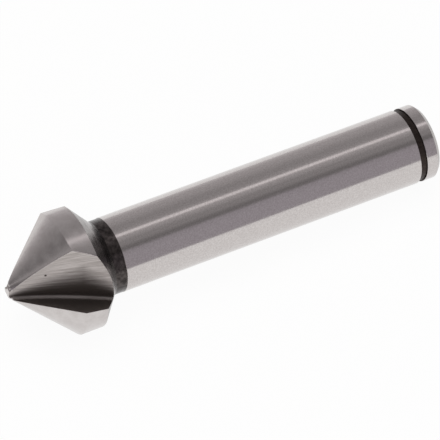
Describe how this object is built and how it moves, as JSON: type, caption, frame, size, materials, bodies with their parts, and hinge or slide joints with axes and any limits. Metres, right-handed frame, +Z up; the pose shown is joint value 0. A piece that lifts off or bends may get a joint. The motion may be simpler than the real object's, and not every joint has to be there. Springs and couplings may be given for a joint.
{
  "type": "countersink bit",
  "caption": "Short fluted countersink with a conical cutting head, a dark unground neck and a plain ground round shank with a shallow ring near its end.",
  "frame": {"origin": "centre of the tool's overall box in plan, at the height of the surface it lies on", "axes": "+X along the tool in plan, from its tip to the end of its shank; +Z up from the surface; the tool's own axis falls 2.8 degrees towards the end of the shank"},
  "size_m": [0.0602, 0.0164, 0.0158],
  "materials": {
    "steel": "fine ground high-speed steel on shank and head; the neck and the ring are dark and unground"
  },
  "bodies": {
    "root": {"countersink": "steel"}
  },
  "joints": []
}
